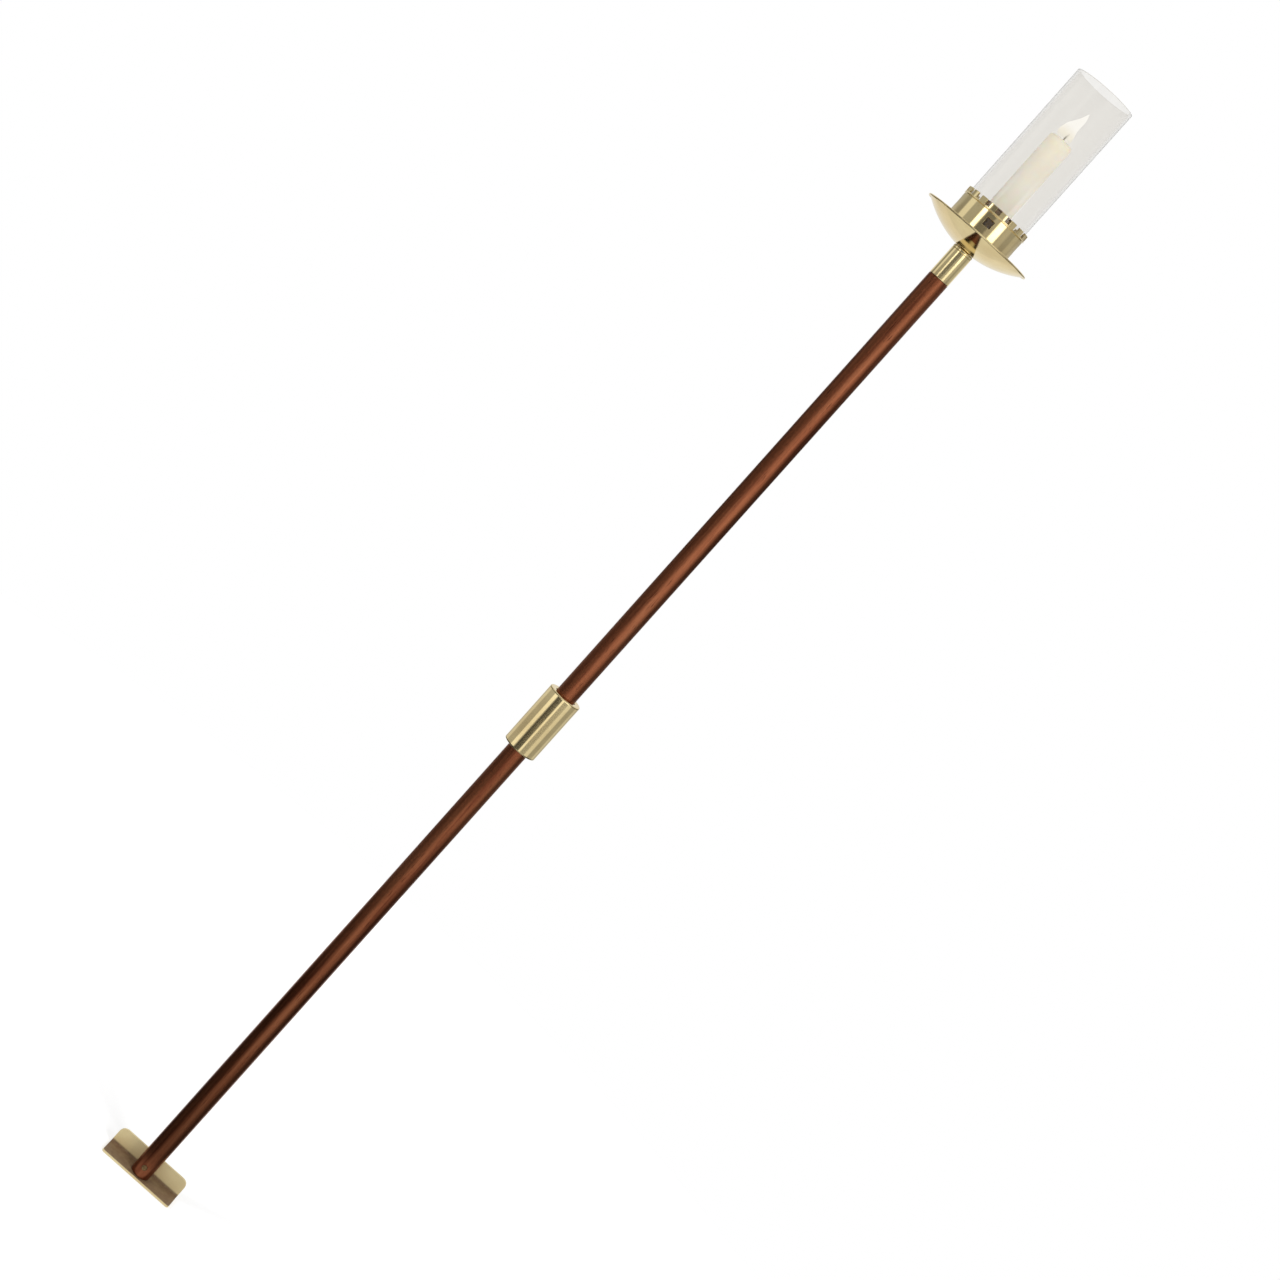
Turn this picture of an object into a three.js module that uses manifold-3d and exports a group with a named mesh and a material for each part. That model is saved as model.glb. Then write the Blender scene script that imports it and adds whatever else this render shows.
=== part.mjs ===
// Pew end candlestick: a round wooden staff that drops through a brass sleeve
// on the pew end and stands on a small brass bracket below it. The staff
// carries a drip pan, a castellated gallery, a candle and a glass cylinder.
// Millimetres, +Z up. The origin is under the foot bracket, on the staff's axis,
// and the pew end lies on the +Y side.
import * as THREE from 'three';
import { mergeVertices } from 'three/addons/utils/BufferGeometryUtils.js';
import Module from 'manifold-3d';

const wasm = await Module();
wasm.setup();

// Clearances
const seatGap = 0.2;
const fitGap = 0.2;
const boreGap = 0.8;
const pegGap = 0.6;
const candleGap = 0.8;
const glassGap = 0.9;

// Where the pew end is
const axisToPew = 19.5;
const pewThickness = 32;

// Foot bracket
const plateThickness = 3.2;
const plateWidth = 101.6;
const plateHeight = 25.4;
const plateCorner = 10;
const shelfDepth = 34.9;
const shelfCorner = 4;
const footScrewSpacing = 16;
const footScrewHeight = 15;

// Wood screws of the foot bracket
const screwHeadDiameter = 7;
const screwShankDiameter = 3.4;
const screwLength = 20;
const slotWidth = 0.9;
const slotDepth = 0.7;

// Sleeve and its bolts
const sleeveDiameter = 42;
const sleeveLength = 80;
const sleeveChamfer = 1.6;
const boltDiameter = 6;
const boltInset = 16;
const boltHeadWidth = 10;
const boltHeadHeight = 4;
const washerDiameter = 14;
const washerThickness = 1.6;

// Wooden shafts
const shaftDiameter = 25.4;
const lowerShaftLength = 720;
const upperShaftLength = 654.5;
const shaftChamfer = 0.6;

// Joint between the shafts
const jointStudDiameter = 9.5;
const jointStudLength = 64;
const insertDiameter = 14;
const insertLength = 30;

// Foot peg and its screw
const pegDiameter = 9.5;
const pegDepth = 30;
const pegScrewHeight = 14.1;
const pegScrewHeadDiameter = 7;
const pegScrewHeadHeight = 2.2;
const pegScrewDiameter = 3;
const pegScrewLength = 20;

// Ferrule
const ferruleLength = 40;
const ferruleWall = 1.5;
const ferruleHead = 8;
const ferruleRound = 1.6;
const ferrulePinDiameter = 3;
const ferrulePinDepth = 8;
const ferrulePinHeight = 18;

// Stud that holds the head together
const studDiameter = 9.7;
const studGrip = 7;
const studRecess = 1;
const studChamfer = 0.6;

// Drip pan
const panDiameter = 138;
const panDepth = 21.5;
const panThickness = 1.2;
const panSeatRadius = 13;
const panBead = 1.1;
const panArcSteps = 9;

// Collar between the pan and the gallery
const collarDiameter = 21;
const collarWaist = 15;
const collarHeight = 14.5;

// Gallery
const galleryHeight = 38.8;
const galleryFloor = 1.2;
const galleryWall = 1;
const galleryStep = 1;
const galleryBead = 0.9;
const crestHeight = 6.8;
const crestProud = 0.5;
const notchCount = 18;
const notchWidth = 6.2;
const notchDepth = 6.2;
const ventCount = 4;
const ventWidth = 10;
const ventHeight = 9.4;
const ventSill = 15.4;

// Candle socket
const socketWall = 1.4;
const socketFloor = 6;
const socketDepth = 33;
const socketLip = 0.8;

// Candle and wick
const candleDiameter = 30;
const candleLength = 130.5;
const candleShoulder = 2.5;
const candleFoot = 0.6;
const candleDish = 2;
const wickDiameter = 2.2;
const wickProud = 11;

// Glass cylinder
const glassDiameter = 76.2;
const glassWall = 2.8;
const glassLength = 203.2;

// Facets round a full turn
const wickFacets = 10;
const smallFacets = 16;
const shaftFacets = 32;
const panFacets = 60;
const wideFacets = 72;

// Radii and heights that follow from the sizes above
const shaftRadius = shaftDiameter / 2;
const boreRadius = shaftRadius + boreGap;
const glassRadius = glassDiameter / 2;
const footZ = plateThickness + seatGap;
const jointZ = footZ + lowerShaftLength;
const sleeveZ = jointZ + seatGap / 2;
const ferruleZ = jointZ + seatGap + upperShaftLength + seatGap;
const panZ = ferruleZ + ferruleLength + seatGap;
const collarZ = panZ + panThickness + seatGap;
const galleryZ = collarZ + collarHeight + seatGap;
const galleryFloorZ = galleryZ + galleryFloor;
const candleZ = galleryFloorZ + seatGap + socketFloor + seatGap;

const brass = new THREE.MeshStandardMaterial({ color: 0xc9b06c, roughness: 0.18, metalness: 1 });
const dullBrass = new THREE.MeshStandardMaterial({ color: 0x6b563a, roughness: 0.35, metalness: 1 });
const steel = new THREE.MeshStandardMaterial({ color: 0x9a9a98, roughness: 0.35, metalness: 1 });
const wood = new THREE.MeshStandardMaterial({ color: 0x5a2e1b, roughness: 0.4, metalness: 0 });
const wax = new THREE.MeshStandardMaterial({ color: 0xf4ecd8, roughness: 0.55, metalness: 0 });
const cotton = new THREE.MeshStandardMaterial({ color: 0x4b443c, roughness: 0.9, metalness: 0 });
const glass = new THREE.MeshStandardMaterial({
  color: 0xe2dfd6, roughness: 0.05, metalness: 0, transparent: true, opacity: 0.35,
});

// A closed geometry with shared corners and no collapsed triangles.
function welded(geometry) {
  const bare = geometry.clone();
  bare.deleteAttribute('normal');
  bare.deleteAttribute('uv');
  const merged = mergeVertices(bare, 1e-4);
  const kept = [];
  const corners = merged.index.array;
  for (let i = 0; i < corners.length; i += 3) {
    const [a, b, c] = corners.slice(i, i + 3);
    if (a !== b && b !== c && c !== a) kept.push(a, b, c);
  }
  merged.setIndex(kept);
  return merged;
}

// A solid of revolution about Z from [radius, height] points, anticlockwise.
function turned(outline, facets) {
  const points = outline.map(([radius, height]) => new THREE.Vector2(radius, height));
  return welded(new THREE.LatheGeometry(points, facets).rotateX(Math.PI / 2));
}

// A round bar along Z that starts at height start.
function bar(radius, start, length, facets) {
  return turned([[0, start], [radius, start], [radius, start + length], [0, start + length]], facets);
}

function toSolid(geometry) {
  const shape = welded(geometry);
  const vertProperties = new Float32Array(shape.attributes.position.array);
  const triVerts = new Uint32Array(shape.index.array);
  return new wasm.Manifold(new wasm.Mesh({ numProp: 3, vertProperties, triVerts }));
}

function toGeometry(solid) {
  const mesh = solid.getMesh();
  const geometry = new THREE.BufferGeometry();
  geometry.setAttribute('position', new THREE.BufferAttribute(mesh.vertProperties, 3));
  geometry.setIndex(new THREE.BufferAttribute(mesh.triVerts, 1));
  geometry.computeVertexNormals();
  return geometry;
}

function cutAway(geometry, cutters) {
  let solid = toSolid(geometry);
  for (const cutter of cutters) solid = solid.subtract(toSolid(cutter));
  return toGeometry(solid);
}

function part(name, geometry, material, height = 0) {
  geometry.computeVertexNormals();
  const mesh = new THREE.Mesh(geometry, material);
  mesh.name = name;
  mesh.position.z = height;
  return mesh;
}

// Turns a shape that stands along +Z so that it runs along +Y.
function alongY(geometry) {
  return geometry.rotateX(-Math.PI / 2);
}

function screwHoleCutter(clearance) {
  const headRadius = screwHeadDiameter / 2 + clearance;
  const shankRadius = screwShankDiameter / 2 + clearance;
  const proud = 1;
  return alongY(turned([
    [0, -proud], [headRadius, -proud], [headRadius, 0],
    [shankRadius, headRadius - shankRadius], [shankRadius, screwLength], [0, screwLength],
  ], smallFacets));
}

function footScrewPlaces() {
  return [-footScrewSpacing / 2, footScrewSpacing / 2].map(
    (x) => new THREE.Vector3(x, axisToPew - plateThickness, footScrewHeight),
  );
}

// Back plate with round upper corners and a shelf with the hole for the foot peg.
function footBracket() {
  const half = plateWidth / 2;
  const back = new THREE.Shape();
  back.moveTo(-half, 0);
  back.lineTo(half, 0);
  back.lineTo(half, plateHeight - plateCorner);
  back.absarc(half - plateCorner, plateHeight - plateCorner, plateCorner, 0, Math.PI / 2);
  back.absarc(plateCorner - half, plateHeight - plateCorner, plateCorner, Math.PI / 2, Math.PI);
  back.closePath();
  const plate = new THREE.ExtrudeGeometry(back, { depth: plateThickness, bevelEnabled: false, curveSegments: 8 });
  plate.rotateX(Math.PI / 2).translate(0, axisToPew, 0);

  const front = axisToPew - shelfDepth;
  const rear = axisToPew - plateThickness / 2;
  const top = new THREE.Shape();
  top.moveTo(half, rear);
  top.lineTo(-half, rear);
  top.absarc(shelfCorner - half, front + shelfCorner, shelfCorner, Math.PI, 1.5 * Math.PI);
  top.absarc(half - shelfCorner, front + shelfCorner, shelfCorner, 1.5 * Math.PI, 2 * Math.PI);
  top.closePath();
  const shelf = new THREE.ExtrudeGeometry(top, { depth: plateThickness, bevelEnabled: false, curveSegments: 6 });

  const spare = 1;
  const pegHole = bar(pegDiameter / 2 + pegGap, -spare, plateThickness + 2 * spare, smallFacets);
  let solid = toSolid(plate).add(toSolid(shelf)).subtract(toSolid(pegHole));
  for (const place of footScrewPlaces()) {
    solid = solid.subtract(toSolid(screwHoleCutter(fitGap).translate(place.x, place.y, place.z)));
  }
  return toGeometry(solid);
}

// Countersunk wood screw with a slotted head, along +Y from its head's face.
function footScrew() {
  const headRadius = screwHeadDiameter / 2;
  const shankRadius = screwShankDiameter / 2;
  const pointLength = 2 * shankRadius;
  const body = alongY(turned([
    [0, 0], [headRadius, 0], [shankRadius, headRadius - shankRadius],
    [shankRadius, screwLength - pointLength], [0, screwLength],
  ], smallFacets));
  return cutAway(body, [new THREE.BoxGeometry(2 * screwHeadDiameter, 2 * slotDepth, slotWidth)]);
}

function boltHeights() {
  const reach = sleeveLength / 2 - boltInset;
  return [reach, -reach];
}

// Round sleeve with a flat back and two tapped holes, about its own middle. It sits
// on the pew end at the height where it hides the joint between the shafts.
function sleeve() {
  const radius = sleeveDiameter / 2;
  const half = sleeveLength / 2;
  const tube = turned([
    [boreRadius, -half + sleeveChamfer], [boreRadius + sleeveChamfer, -half],
    [radius - sleeveChamfer, -half], [radius, -half + sleeveChamfer],
    [radius, half - sleeveChamfer], [radius - sleeveChamfer, half],
    [boreRadius + sleeveChamfer, half], [boreRadius, half - sleeveChamfer],
    [boreRadius, -half + sleeveChamfer],
  ], shaftFacets);
  const cutters = boltHeights().map(
    (z) => alongY(bar(boltDiameter / 2 + fitGap, boreRadius / 2, radius, smallFacets)).translate(0, 0, z),
  );
  const spare = sleeveDiameter;
  const back = new THREE.BoxGeometry(2 * radius, spare, 2 * sleeveLength);
  cutters.push(back.translate(0, axisToPew + spare / 2, 0));
  return cutAway(tube, cutters);
}

// Hexagon head bolt along Y, its tip inside the sleeve's wall and its head behind the pew end.
function sleeveBolt() {
  const tip = boreRadius + 3 * fitGap;
  const underHead = axisToPew + pewThickness + seatGap + washerThickness + seatGap;
  const headRadius = boltHeadWidth / Math.sqrt(3);
  const shank = bar(boltDiameter / 2, tip, underHead - tip + boltHeadHeight / 2, smallFacets);
  const head = bar(headRadius, underHead, boltHeadHeight, 6);
  return alongY(toGeometry(toSolid(shank).add(toSolid(head))));
}

function sleeveWasher() {
  const start = axisToPew + pewThickness + seatGap;
  const inner = boltDiameter / 2 + fitGap;
  const outer = washerDiameter / 2;
  return alongY(turned([
    [inner, start], [outer, start], [outer, start + washerThickness],
    [inner, start + washerThickness], [inner, start],
  ], smallFacets));
}

function pegScrewHole(radius) {
  return alongY(bar(radius, -shaftDiameter, shaftDiameter + pegScrewLength - shaftRadius, smallFacets));
}

// Lower shaft from its foot: bored below for the peg, above for the joint stud.
function lowerShaft() {
  const edge = shaftRadius - shaftChamfer;
  const pegBore = pegDiameter / 2 + fitGap;
  const studBore = jointStudDiameter / 2 + fitGap;
  const pegTop = pegDepth + seatGap;
  const studFloor = lowerShaftLength - jointStudLength / 2 - seatGap;
  const bored = turned([
    [0, pegTop], [pegBore, pegTop], [pegBore, 0], [edge, 0], [shaftRadius, shaftChamfer],
    [shaftRadius, lowerShaftLength], [studBore, lowerShaftLength], [studBore, studFloor], [0, studFloor],
  ], shaftFacets);
  const hole = pegScrewHole(pegScrewDiameter / 2 + fitGap).translate(0, 0, pegScrewHeight);
  return cutAway(bored, [hole]);
}

function tenonLength() {
  return ferruleLength - ferruleHead - seatGap;
}

// Upper shaft from the joint: bored for the insert, turned down above for the ferrule.
function upperShaft() {
  const insertBore = insertDiameter / 2 + fitGap;
  const studBore = jointStudDiameter / 2 + fitGap;
  const insertTop = insertLength + seatGap;
  const studTop = jointStudLength / 2 + seatGap;
  const tenonRadius = shaftRadius - ferruleWall - fitGap;
  const tenonTop = upperShaftLength + tenonLength();
  const studEnd = tenonTop - studGrip;
  const headBore = studDiameter / 2 + fitGap;
  const body = turned([
    [0, studTop], [studBore, studTop], [studBore, insertTop], [insertBore, insertTop], [insertBore, 0],
    [shaftRadius, 0], [shaftRadius, upperShaftLength], [tenonRadius, upperShaftLength],
    [tenonRadius, tenonTop], [headBore, tenonTop], [headBore, studEnd], [0, studEnd],
  ], shaftFacets);
  const pinHole = ferrulePinCutter(ferrulePinDiameter / 2 + fitGap);
  return cutAway(body, [pinHole.translate(0, 0, upperShaftLength + seatGap + ferrulePinHeight)]);
}

function jointInsert() {
  const inner = jointStudDiameter / 2 + fitGap;
  const outer = insertDiameter / 2;
  return turned([
    [inner, 0], [outer, 0], [outer, insertLength], [inner, insertLength], [inner, 0],
  ], shaftFacets);
}

// Brass peg under the lower shaft, with a cross hole for its screw.
function footPeg() {
  const below = plateThickness;
  const radius = pegDiameter / 2;
  const round = 0.8;
  const peg = turned([
    [0, -below], [radius - round, -below], [radius, round - below], [radius, pegDepth], [0, pegDepth],
  ], shaftFacets);
  const hole = pegScrewHole(pegScrewDiameter / 2 + fitGap).translate(0, 0, pegScrewHeight);
  return cutAway(peg, [hole]);
}

// Domed screw that holds the peg, along +Y from the front of the shaft.
function pegScrew() {
  const headRadius = pegScrewHeadDiameter / 2;
  const shankRadius = pegScrewDiameter / 2;
  const face = -shaftRadius - seatGap;
  const crown = face - pegScrewHeadHeight;
  const steps = 4;
  const outline = [[0, crown]];
  for (let i = 1; i <= steps; i += 1) {
    const angle = (i / steps) * (Math.PI / 2);
    outline.push([headRadius * Math.sin(angle), face - pegScrewHeadHeight * Math.cos(angle)]);
  }
  outline.push([shankRadius, face]);
  outline.push([shankRadius, face + pegScrewLength - 2 * shankRadius]);
  outline.push([0, face + pegScrewLength]);
  const slot = new THREE.BoxGeometry(slotWidth, 2 * slotDepth, 2 * pegScrewHeadDiameter);
  return cutAway(alongY(turned(outline, smallFacets)), [slot.translate(0, crown, 0)]);
}

// Brass cap over the shaft's end, open below, with a tapped head above.
function ferrule() {
  const inner = shaftRadius - ferruleWall;
  const tapped = studDiameter / 2 + fitGap;
  const headUnder = ferruleLength - ferruleHead;
  const cap = turned([
    [inner, 0], [shaftRadius, 0], [shaftRadius, ferruleLength - ferruleRound],
    [shaftRadius - 0.3 * ferruleRound, ferruleLength - 0.3 * ferruleRound],
    [shaftRadius - ferruleRound, ferruleLength], [tapped, ferruleLength],
    [tapped, headUnder], [inner, headUnder], [inner, 0],
  ], shaftFacets);
  const pinHole = ferrulePinCutter(ferrulePinDiameter / 2 + fitGap);
  return cutAway(cap, [pinHole.translate(0, 0, ferrulePinHeight)]);
}

function ferrulePinCutter(radius) {
  const inside = shaftRadius - ferrulePinDepth - seatGap;
  return alongY(bar(radius, inside, 2 * ferrulePinDepth, smallFacets));
}

// Pin at the back of the ferrule, flush with its surface.
function ferrulePin() {
  const radius = ferrulePinDiameter / 2;
  const start = shaftRadius - ferrulePinDepth;
  return alongY(turned([
    [0, start], [radius, start], [radius, shaftRadius - fitGap], [0, shaftRadius],
  ], smallFacets));
}

// Height of the pan's outer surface above its seat, at a given radius: part of a
// sphere through the seat's edge and the rim.
function panRise(radius) {
  const reach = panDiameter / 2;
  const centre = (reach * reach - panSeatRadius * panSeatRadius + panDepth * panDepth) / (2 * panDepth);
  const ball = Math.hypot(centre, panSeatRadius);
  return centre - Math.sqrt(ball * ball - radius * radius);
}

// Shallow spherical dish with a flat seat, a stud hole and a rounded edge.
function dripPan() {
  const reach = panDiameter / 2;
  const hole = studDiameter / 2 + fitGap;
  const edge = reach - panBead;
  const radiusAt = (step) => panSeatRadius + (step / panArcSteps) * (edge - panSeatRadius);
  const outline = [[hole, 0], [panSeatRadius, 0]];
  for (let i = 1; i < panArcSteps; i += 1) outline.push([radiusAt(i), panRise(radiusAt(i))]);
  outline.push([reach, panDepth - panBead]);
  outline.push([reach - 0.3 * panBead, panDepth - 0.3 * panBead]);
  outline.push([edge, panDepth]);
  outline.push([edge - panBead, panDepth - 0.3 * panBead]);
  for (let i = panArcSteps - 1; i >= 0; i -= 1) {
    outline.push([radiusAt(i), panRise(radiusAt(i)) + panThickness]);
  }
  outline.push([hole, panThickness]);
  outline.push([hole, 0]);
  return turned(outline, panFacets);
}

// Waisted spacer on the stud.
function panCollar() {
  const hole = studDiameter / 2 + fitGap;
  const wide = collarDiameter / 2;
  const waist = collarWaist / 2;
  const rim = 1.6;
  return turned([
    [hole, 0], [wide, 0], [wide, rim], [waist, 0.35 * collarHeight], [waist, 0.65 * collarHeight],
    [wide, collarHeight - rim], [wide, collarHeight], [hole, collarHeight], [hole, 0],
  ], shaftFacets);
}

// Cutters for square openings, evenly spaced round a wall from its front.
function openingCutters(count, width, height, middle, radius) {
  const cutters = [];
  for (let i = 0; i < count; i += 1) {
    const cutter = new THREE.BoxGeometry(width, 6 * galleryWall, height);
    cutter.translate(0, -radius, middle);
    cutters.push(cutter.rotateZ((2 * Math.PI * i) / count));
  }
  return cutters;
}

// Cup for the glass: a wall with air vents, a bead, and a crest with square notches
// like a battlement, which steadies the glass.
function gallery() {
  const hole = studDiameter / 2 + fitGap;
  const crestInner = glassRadius + glassGap;
  const wallInner = crestInner + galleryStep;
  const wallOuter = wallInner + galleryWall;
  const crestOuter = wallOuter + crestProud;
  const crestZ = galleryHeight - crestHeight;
  const bead = galleryBead;
  const cup = turned([
    [hole, 0], [wallOuter - bead, 0], [wallOuter, bead], [wallOuter, crestZ - 1.8 * bead],
    [wallOuter + 0.7 * bead, crestZ - 1.5 * bead], [wallOuter + bead, crestZ - 0.9 * bead],
    [wallOuter + 0.7 * bead, crestZ - 0.3 * bead], [crestOuter, crestZ],
    [crestOuter, galleryHeight - 0.4 * galleryWall], [crestOuter - 0.4 * galleryWall, galleryHeight],
    [crestInner, galleryHeight], [crestInner, crestZ], [wallInner, crestZ - galleryStep],
    [wallInner, galleryFloor], [hole, galleryFloor], [hole, 0],
  ], wideFacets);
  const ventMiddle = ventSill + ventHeight / 2;
  return cutAway(cup, [
    ...openingCutters(notchCount, notchWidth, 2 * notchDepth, galleryHeight, (crestInner + crestOuter) / 2),
    ...openingCutters(ventCount, ventWidth, ventHeight, ventMiddle, (wallInner + wallOuter) / 2),
  ]);
}

// Cup for the candle, with a thick tapped floor.
function candleSocket() {
  const tapped = studDiameter / 2 + fitGap;
  const inner = candleDiameter / 2 + candleGap;
  const outer = inner + socketWall;
  const top = socketFloor + socketDepth;
  return turned([
    [tapped, 0], [outer, 0], [outer, top - 2 * socketLip], [outer + socketLip, top - socketLip],
    [outer + socketLip, top - 0.3 * socketLip], [outer + 0.5 * socketLip, top], [inner, top],
    [inner, socketFloor], [tapped, socketFloor], [tapped, 0],
  ], shaftFacets);
}

// Threaded stud from the ferrule's head up to the socket's floor.
function centreStud() {
  const start = ferruleZ + ferruleLength - ferruleHead - studGrip + seatGap;
  const end = galleryFloorZ + seatGap + socketFloor - studRecess;
  const radius = studDiameter / 2;
  const body = turned([
    [0, start], [radius - studChamfer, start], [radius, start + studChamfer],
    [radius, end - studChamfer], [radius - studChamfer, end], [0, end],
  ], shaftFacets);
  return body.translate(0, 0, -panZ);
}

// Part-burnt candle: rounded shoulder, shallow dish and the wick's channel.
function candle() {
  const radius = candleDiameter / 2;
  const channel = wickDiameter / 2 + fitGap;
  const top = candleLength;
  return turned([
    [channel, 0], [radius - candleFoot, 0], [radius, candleFoot], [radius, top - candleShoulder],
    [radius - 0.3 * candleShoulder, top - 0.3 * candleShoulder], [radius - candleShoulder, top],
    [0.55 * radius, top - 0.7 * candleDish], [channel, top - candleDish], [channel, 0],
  ], shaftFacets);
}

function wick() {
  return bar(wickDiameter / 2, 0, candleLength + wickProud, wickFacets);
}

// Clear tube, open at both ends, with softened edges.
function glassCylinder() {
  const inner = glassRadius - glassWall;
  const soft = 0.25 * glassWall;
  return turned([
    [inner, soft], [inner + soft, 0], [glassRadius - soft, 0], [glassRadius, soft],
    [glassRadius, glassLength - soft], [glassRadius - soft, glassLength],
    [inner + soft, glassLength], [inner, glassLength - soft], [inner, soft],
  ], wideFacets);
}

function pewFittings() {
  const group = new THREE.Group();
  group.add(part('foot_bracket', footBracket(), brass));
  const sides = ['left', 'right'];
  footScrewPlaces().forEach((place, index) => {
    const screw = part(`foot_screw_${sides[index]}`, footScrew(), brass);
    screw.position.copy(place);
    group.add(screw);
  });
  group.add(part('sleeve', sleeve(), brass, sleeveZ));
  const levels = ['upper', 'lower'];
  boltHeights().forEach((height, index) => {
    group.add(part(`sleeve_bolt_${levels[index]}`, sleeveBolt(), steel, sleeveZ + height));
    group.add(part(`sleeve_washer_${levels[index]}`, sleeveWasher(), steel, sleeveZ + height));
  });
  return group;
}

function staff() {
  const group = new THREE.Group();
  const studStart = jointZ - jointStudLength / 2;
  group.add(part('lower_shaft', lowerShaft(), wood, footZ));
  group.add(part('foot_peg', footPeg(), brass, footZ));
  group.add(part('peg_screw', pegScrew(), dullBrass, footZ + pegScrewHeight));
  group.add(part('joint_stud', bar(jointStudDiameter / 2, 0, jointStudLength, shaftFacets), steel, studStart));
  group.add(part('upper_shaft', upperShaft(), wood, jointZ + seatGap));
  group.add(part('joint_insert', jointInsert(), dullBrass, jointZ + seatGap));
  group.add(part('ferrule', ferrule(), brass, ferruleZ));
  group.add(part('ferrule_pin', ferrulePin(), brass, ferruleZ + ferrulePinHeight));
  return group;
}

function head() {
  const group = new THREE.Group();
  group.position.z = panZ;
  group.add(part('centre_stud', centreStud(), steel));
  group.add(part('drip_pan', dripPan(), brass));
  group.add(part('pan_collar', panCollar(), brass, collarZ - panZ));
  group.add(part('gallery', gallery(), brass, galleryZ - panZ));
  group.add(part('candle_socket', candleSocket(), dullBrass, galleryFloorZ + seatGap - panZ));
  group.add(part('candle', candle(), wax, candleZ - panZ));
  group.add(part('wick', wick(), cotton, candleZ - panZ));
  group.add(part('glass_cylinder', glassCylinder(), glass, galleryFloorZ + seatGap - panZ));
  return group;
}

const candlestick = new THREE.Group();
candlestick.name = 'pew_end_candlestick';
candlestick.add(pewFittings(), staff(), head());

export default candlestick;
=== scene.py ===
import math

import bmesh
import bpy
from mathutils import Matrix, Vector


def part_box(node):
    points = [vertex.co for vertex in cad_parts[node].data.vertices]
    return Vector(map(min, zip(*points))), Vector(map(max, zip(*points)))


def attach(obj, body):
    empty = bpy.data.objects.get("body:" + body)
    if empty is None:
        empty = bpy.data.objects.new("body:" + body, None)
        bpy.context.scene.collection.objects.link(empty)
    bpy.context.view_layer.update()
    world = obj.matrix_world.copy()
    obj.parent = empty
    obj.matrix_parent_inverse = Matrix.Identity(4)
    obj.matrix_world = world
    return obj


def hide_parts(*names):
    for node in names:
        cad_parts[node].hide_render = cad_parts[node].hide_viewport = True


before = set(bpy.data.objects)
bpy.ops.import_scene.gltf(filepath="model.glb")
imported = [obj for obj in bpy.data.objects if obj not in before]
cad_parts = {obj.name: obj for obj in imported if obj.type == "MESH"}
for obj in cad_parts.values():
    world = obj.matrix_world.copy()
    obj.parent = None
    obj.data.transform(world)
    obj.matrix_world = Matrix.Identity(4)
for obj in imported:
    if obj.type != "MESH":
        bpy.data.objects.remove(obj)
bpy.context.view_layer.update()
mm = 0.001
print("frame loaded:", len(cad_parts), "nodes")


def nodeBox(name):
    low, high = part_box(name)
    return Vector(low), Vector(high)


# camera: where the lens stands and looks, and the turn that lays the staff across the picture
view = {
    "distance": 2.70,
    "height": 1.3017,
    "lookDown": 9.15,
    "lookAside": 0.42,
    "roll": 41.85,
    "lens": 69.2,
    "sensor": 36.0,
    "nearest": 0.05,
    "farthest": 60,
}


def makeCamera():
    data = bpy.data.cameras.new("photoCamera")
    data.lens = view["lens"]
    data.sensor_width = view["sensor"]
    data.clip_start = view["nearest"]
    data.clip_end = view["farthest"]
    camera = bpy.data.objects.new("photoCamera", data)
    bpy.context.scene.collection.objects.link(camera)
    down, aside, roll = (math.radians(view[key]) for key in ("lookDown", "lookAside", "roll"))
    ahead = Vector((math.sin(aside) * math.cos(down), math.cos(aside) * math.cos(down), -math.sin(down)))
    right = ahead.cross(Vector((0, 0, 1))).normalized()
    up = right.cross(ahead)
    turnedRight = right * math.cos(roll) + up * math.sin(roll)
    turnedUp = up * math.cos(roll) - right * math.sin(roll)
    camera.matrix_world = Matrix((
        (turnedRight.x, turnedUp.x, -ahead.x, 0),
        (turnedRight.y, turnedUp.y, -ahead.y, -view["distance"]),
        (turnedRight.z, turnedUp.z, -ahead.z, view["height"]),
        (0, 0, 0, 1),
    ))
    bpy.context.scene.camera = camera
    bpy.context.scene.view_settings.view_transform = "Standard"


makeCamera()
print("camera placed")


# a number that varies over a surface: arithmetic on it adds Math nodes to its tree
class Signal:
    def __init__(self, graph, socket):
        self.graph = graph
        self.socket = socket

    def join(self, operation, first, second=None):
        inputs = {0: first} if second is None else {0: first, 1: second}
        return self.graph.add("ShaderNodeMath", {"operation": operation}, inputs)

    def __add__(self, other):
        return self.join("ADD", self, other)

    def __radd__(self, other):
        return self.join("ADD", other, self)

    def __sub__(self, other):
        return self.join("SUBTRACT", self, other)

    def __rsub__(self, other):
        return self.join("SUBTRACT", other, self)

    def __mul__(self, other):
        return self.join("MULTIPLY", self, other)

    def __rmul__(self, other):
        return self.join("MULTIPLY", other, self)

    def size(self):
        return self.join("ABSOLUTE", self)

    def most(self, other):
        return self.join("MAXIMUM", self, other)

    def rise(self, start, end, low=0.0, high=1.0):
        # a smooth step: low before start, high after end
        return self.graph.add(
            "ShaderNodeMapRange", {"interpolation_type": "SMOOTHSTEP"},
            {"Value": self, "From Min": start, "From Max": end, "To Min": low, "To Max": high})

    def fall(self, start, end):
        # 1 before start, 0 after end
        return self.rise(start, end, 1.0, 0.0)


# which output of Light Path tells each kind of ray
rayKinds = {"camera": 0, "shadow": 1, "diffuse": 2, "glossy": 3, "transmission": 6}


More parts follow.
